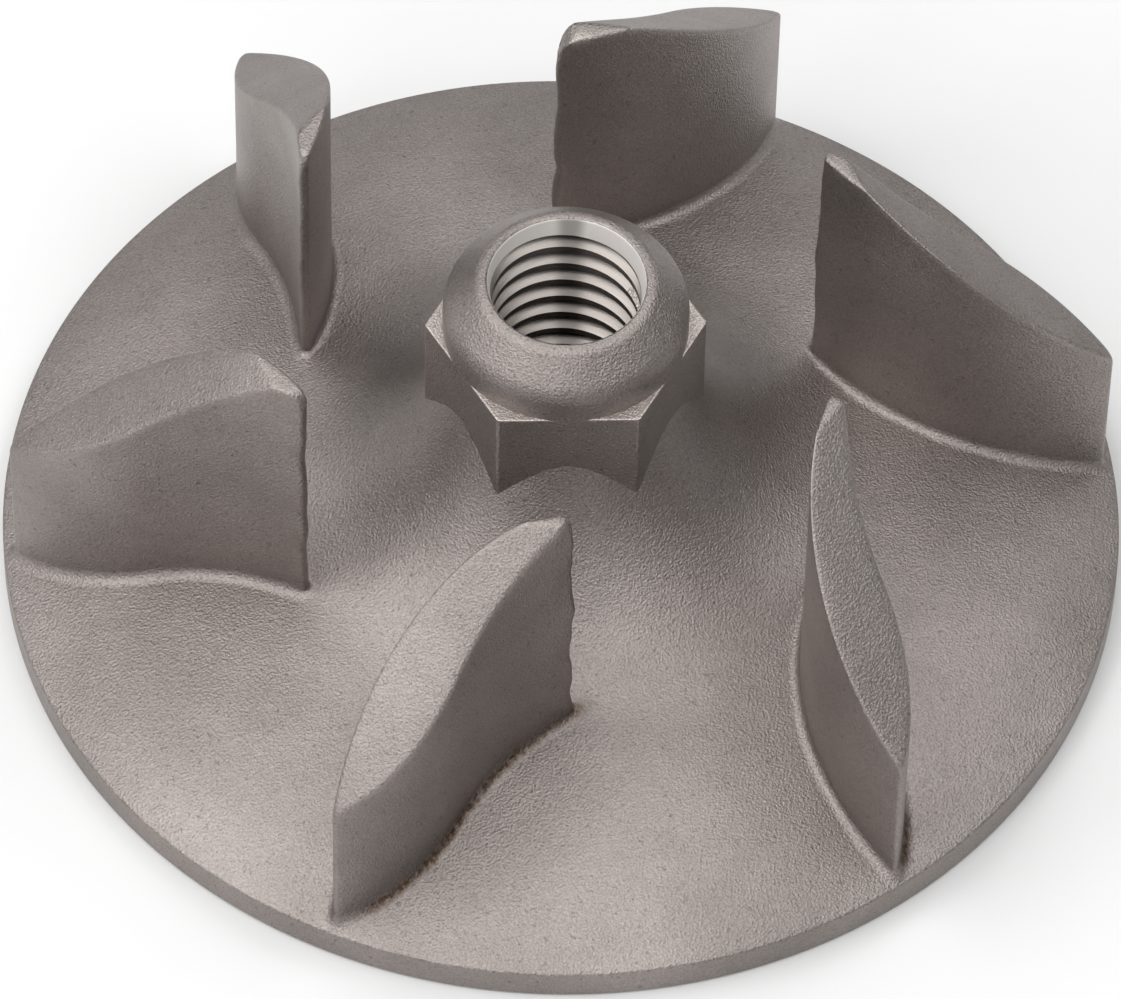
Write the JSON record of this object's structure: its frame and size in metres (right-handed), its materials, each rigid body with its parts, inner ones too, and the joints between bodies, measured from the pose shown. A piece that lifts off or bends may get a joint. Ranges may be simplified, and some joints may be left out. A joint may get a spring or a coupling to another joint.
{
  "type": "pump impeller",
  "caption": "Semi-open cast pump impeller: domed disc with swept curved vanes, a hexagonal hub with a round collar, and a threaded bore on its axis.",
  "frame": {"origin": "centre of the flat back of the disc, on the shaft axis", "axes": "+Z along the shaft axis from the flat back to the hub's collar; +X through one corner of the hub's hexagon; right-handed"},
  "size_m": [0.065, 0.065, 0.0245],
  "materials": {
    "cast_metal": "bead-blasted investment casting, matte and slightly grainy; bore and lead-in machined bright"
  },
  "bodies": {
    "root": {"impeller": "cast_metal"}
  },
  "joints": []
}
